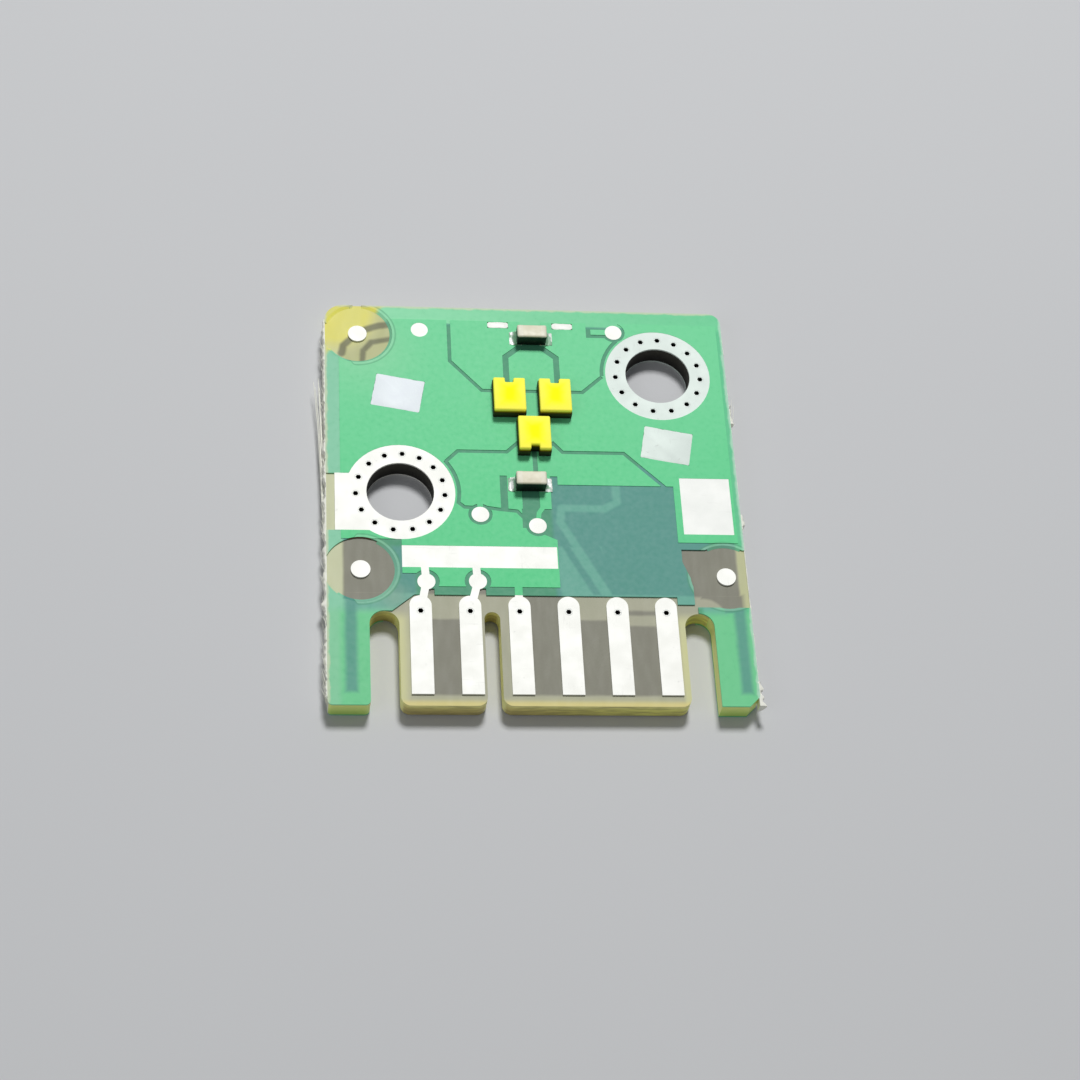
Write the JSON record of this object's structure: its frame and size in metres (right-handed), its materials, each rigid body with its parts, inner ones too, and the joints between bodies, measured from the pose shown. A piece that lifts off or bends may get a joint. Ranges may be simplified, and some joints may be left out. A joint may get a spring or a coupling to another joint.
{
  "type": "headlight led board",
  "caption": "small green circuit board with a plug-in edge connector on slotted tongues, screw holes ringed by vias, yellow LEDs and chip capacitors",
  "frame": {"origin": "centre of the board's outline, on its underside", "axes": "+X along the edge connector towards the right arm, +Y away from the connector, +Z out of the component side"},
  "size_m": [0.0216, 0.024, 0.002],
  "materials": {
    "laminate": "woven glass and resin laminate, routed edges",
    "solder_mask": "green translucent solder mask, satin",
    "copper": "copper foil under the mask and the tin",
    "tin": "matt white tin plating",
    "solder": "reflowed tin solder",
    "led_ceramic": "submount under the phosphor, tinted by it",
    "phosphor": "yellow phosphor in silicone, finely grained",
    "capacitor_ceramic": "sintered dielectric, beige brown"
  },
  "bodies": {
    "root": {"capacitor_1_ceramic": "capacitor_ceramic", "capacitor_1_end_caps": "tin", "capacitor_1_solder": "solder", "capacitor_2_ceramic": "capacitor_ceramic", "capacitor_2_end_caps": "tin", "capacitor_2_solder": "solder", "contact_finger_3": "tin", "contact_finger_4": "tin", "contact_finger_5": "tin", "contact_finger_6": "tin", "copper_pour": "copper", "edge_pad": "tin", "fiducials": "tin", "hole_1_land": "tin", "hole_2_land": "tin", "laminate": "laminate", "led_1_body": "led_ceramic", "led_1_feed": "copper", "led_1_phosphor": "phosphor", "led_1_solder": "solder", "led_2_body": "led_ceramic", "led_2_feed": "copper", "led_2_phosphor": "phosphor", "led_2_solder": "solder", "led_3_body": "led_ceramic", "led_3_left_feed": "copper", "led_3_phosphor": "phosphor", "led_3_right_feed": "copper", "led_3_solder": "solder", "led_link": "copper", "short_bars": "tin", "slanted_pad_1": "tin", "slanted_pad_2": "tin", "supply_bar_and_fingers": "tin", "test_dots": "tin", "test_track": "copper", "top_mask": "solder_mask", "under_copper_pour": "copper", "under_mask": "solder_mask"}
  },
  "joints": []
}
